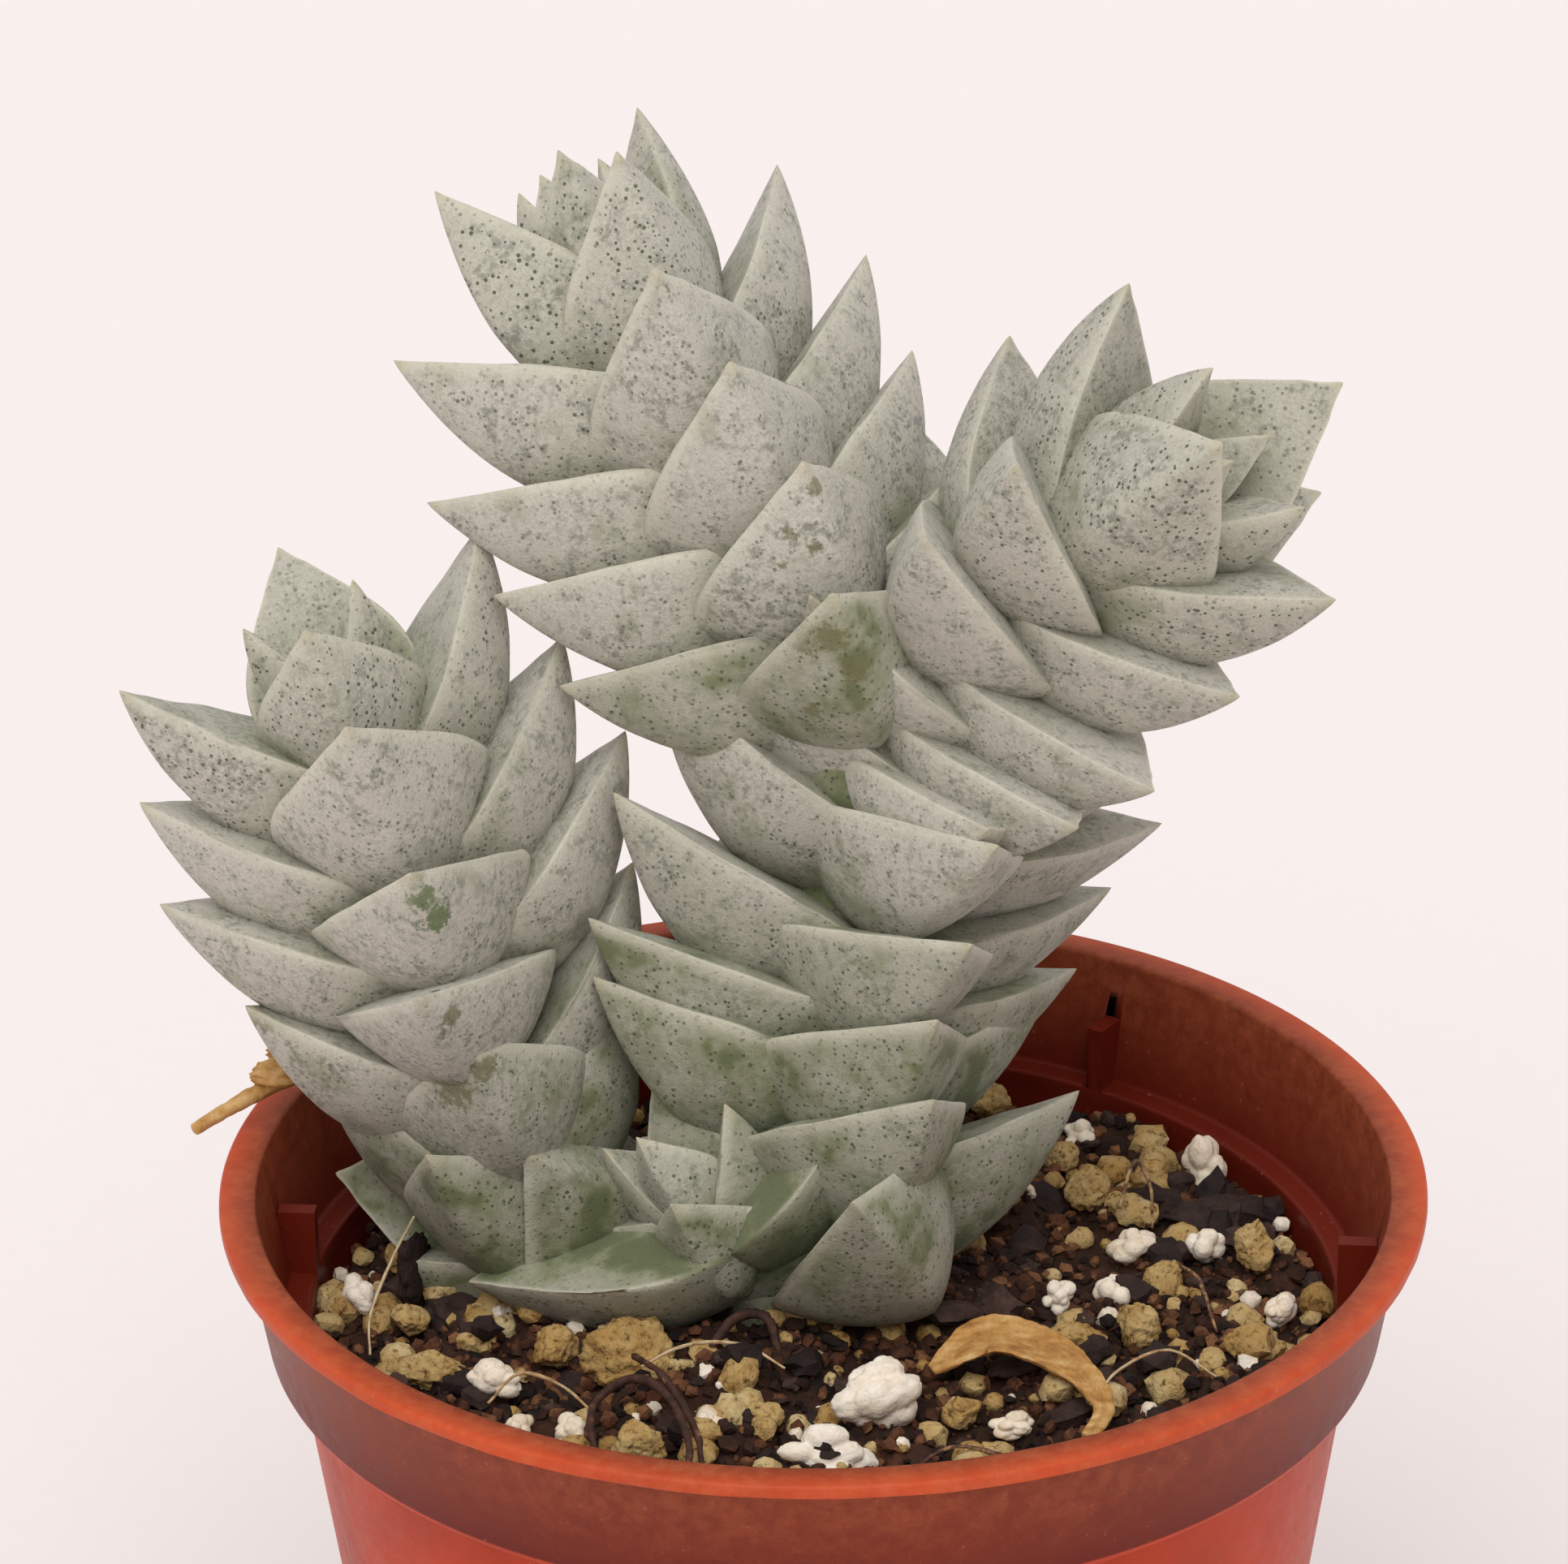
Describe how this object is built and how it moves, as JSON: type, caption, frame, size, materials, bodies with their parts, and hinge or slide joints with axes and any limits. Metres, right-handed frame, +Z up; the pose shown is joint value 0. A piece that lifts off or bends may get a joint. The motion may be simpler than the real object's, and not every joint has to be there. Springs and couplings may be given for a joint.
{
  "type": "potted Crassula deceptor",
  "caption": "Small potted succulent: leafy columns of crossed, keeled grey-green leaves in a tapered plastic nursery pot with gritty soil.",
  "frame": {"origin": "centre of the pot's underside, on the surface it stands on", "axes": "+Z up along the pot's axis, -Y towards the viewer of the picture, +X to the viewer's right"},
  "size_m": [0.0639, 0.06, 0.1037],
  "materials": {
    "pot_plastic": "satin",
    "soil": "rough",
    "leaf_skin": "waxy bloom",
    "perlite": "rough",
    "pumice": "rough",
    "bark": "rough",
    "dry_tissue": "papery"
  },
  "bodies": {
    "root": {"bark_chip_01": "bark", "bark_chip_02": "bark", "bark_chip_03": "bark", "dry_flower_stalk": "dry_tissue", "dry_leaf": "dry_tissue", "perlite_01": "perlite", "perlite_02": "perlite", "perlite_03": "perlite", "perlite_04": "perlite", "perlite_05": "perlite", "perlite_06": "perlite", "perlite_07": "perlite", "perlite_08": "perlite", "perlite_09": "perlite", "perlite_10": "perlite", "perlite_11": "perlite", "perlite_12": "perlite", "perlite_13": "perlite", "perlite_14": "perlite", "perlite_15": "perlite", "perlite_16": "perlite", "perlite_17": "perlite", "perlite_18": "perlite", "plant_basal_offset": "leaf_skin", "plant_left_stem": "leaf_skin", "plant_main_stem": "leaf_skin", "plant_top_head": "leaf_skin", "pot": "pot_plastic", "pumice_01": "pumice", "pumice_02": "pumice", "pumice_03": "pumice", "pumice_04": "pumice", "pumice_05": "pumice", "pumice_06": "pumice", "pumice_07": "pumice", "pumice_08": "pumice", "pumice_09": "pumice", "pumice_10": "pumice", "pumice_11": "pumice", "pumice_12": "pumice", "pumice_13": "pumice", "pumice_14": "pumice", "pumice_15": "pumice", "pumice_16": "pumice", "pumice_17": "pumice", "pumice_18": "pumice", "pumice_19": "pumice", "soil": "soil"}
  },
  "joints": []
}
